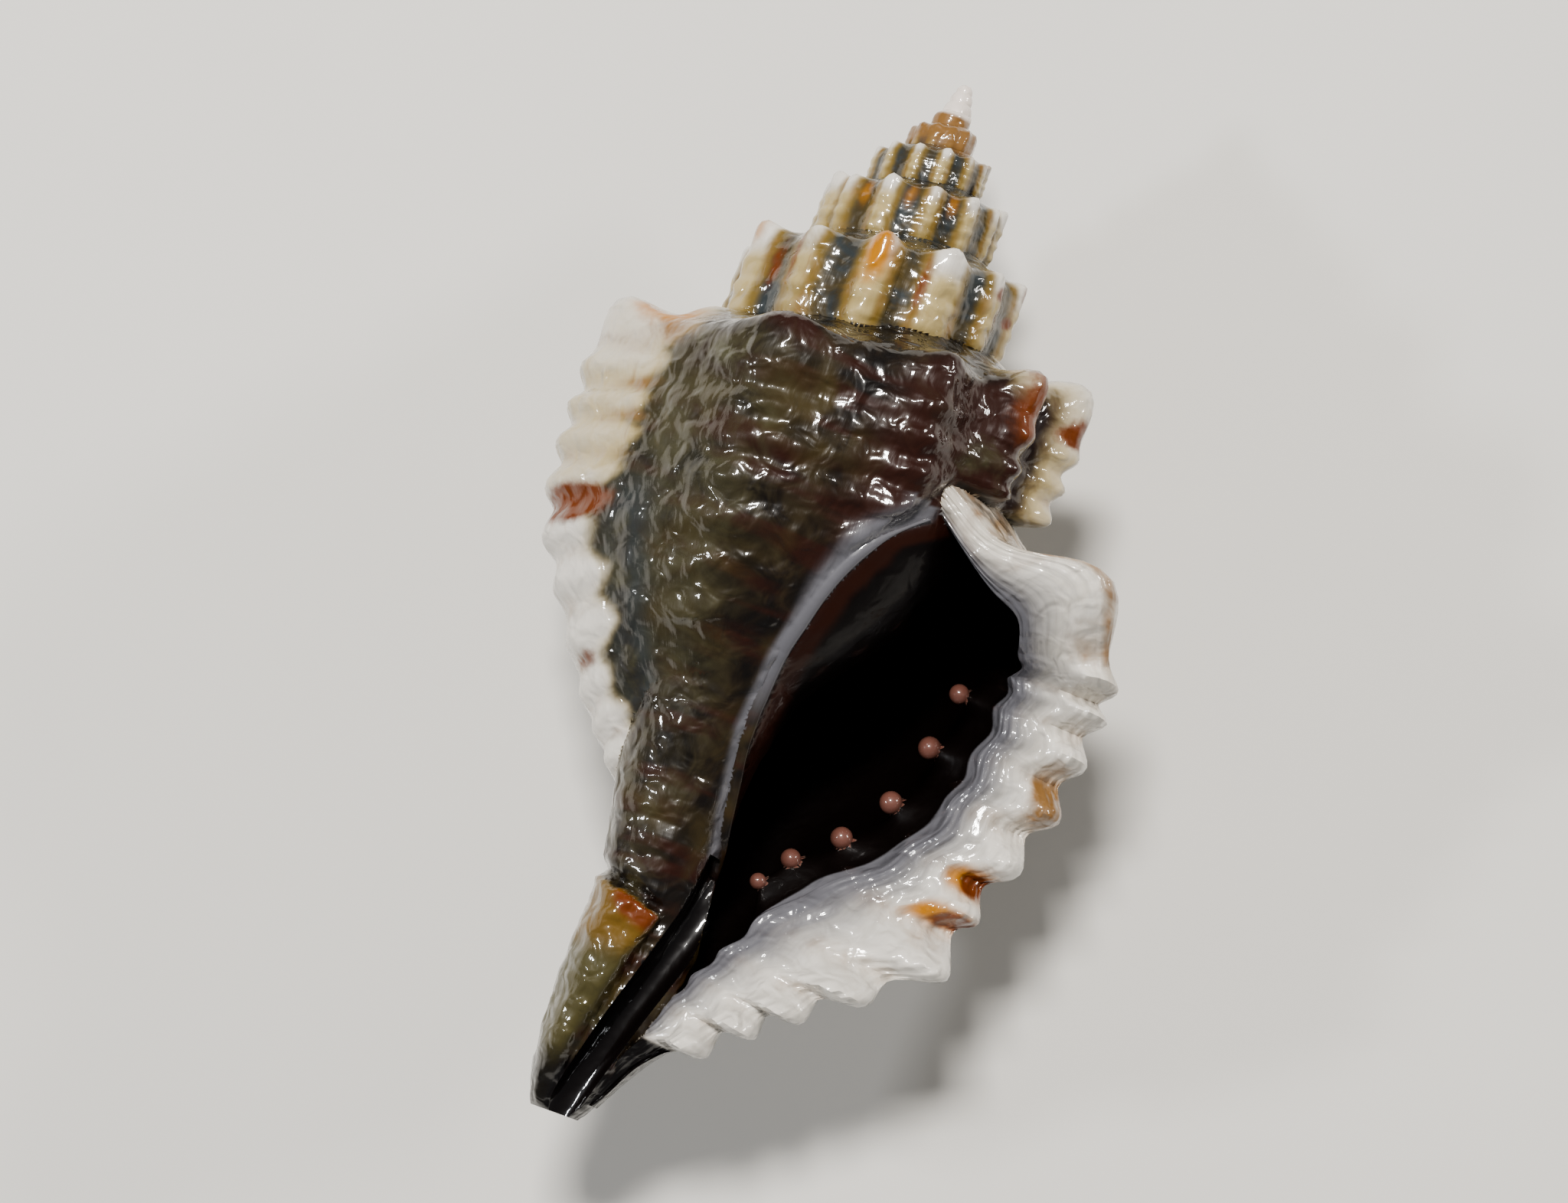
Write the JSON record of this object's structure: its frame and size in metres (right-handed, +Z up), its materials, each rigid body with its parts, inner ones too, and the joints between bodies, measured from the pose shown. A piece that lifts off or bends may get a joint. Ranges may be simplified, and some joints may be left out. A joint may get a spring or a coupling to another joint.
{
  "type": "murex shell",
  "caption": "Spiny coiled sea shell lying on its back, mouth up, with ribbed whorls, two thick varices, a toothed lip and an open siphonal canal",
  "frame": {"origin": "bottom centre of the bounding box, on the surface that the shell lies on", "axes": "+Y from the canal to the apex, +X towards the outer lip, +Z up, out of the mouth"},
  "size_m": [0.0162, 0.03, 0.0126],
  "materials": {
    "shell": "wet gloss"
  },
  "bodies": {
    "root": {"shell": "shell"}
  },
  "joints": []
}
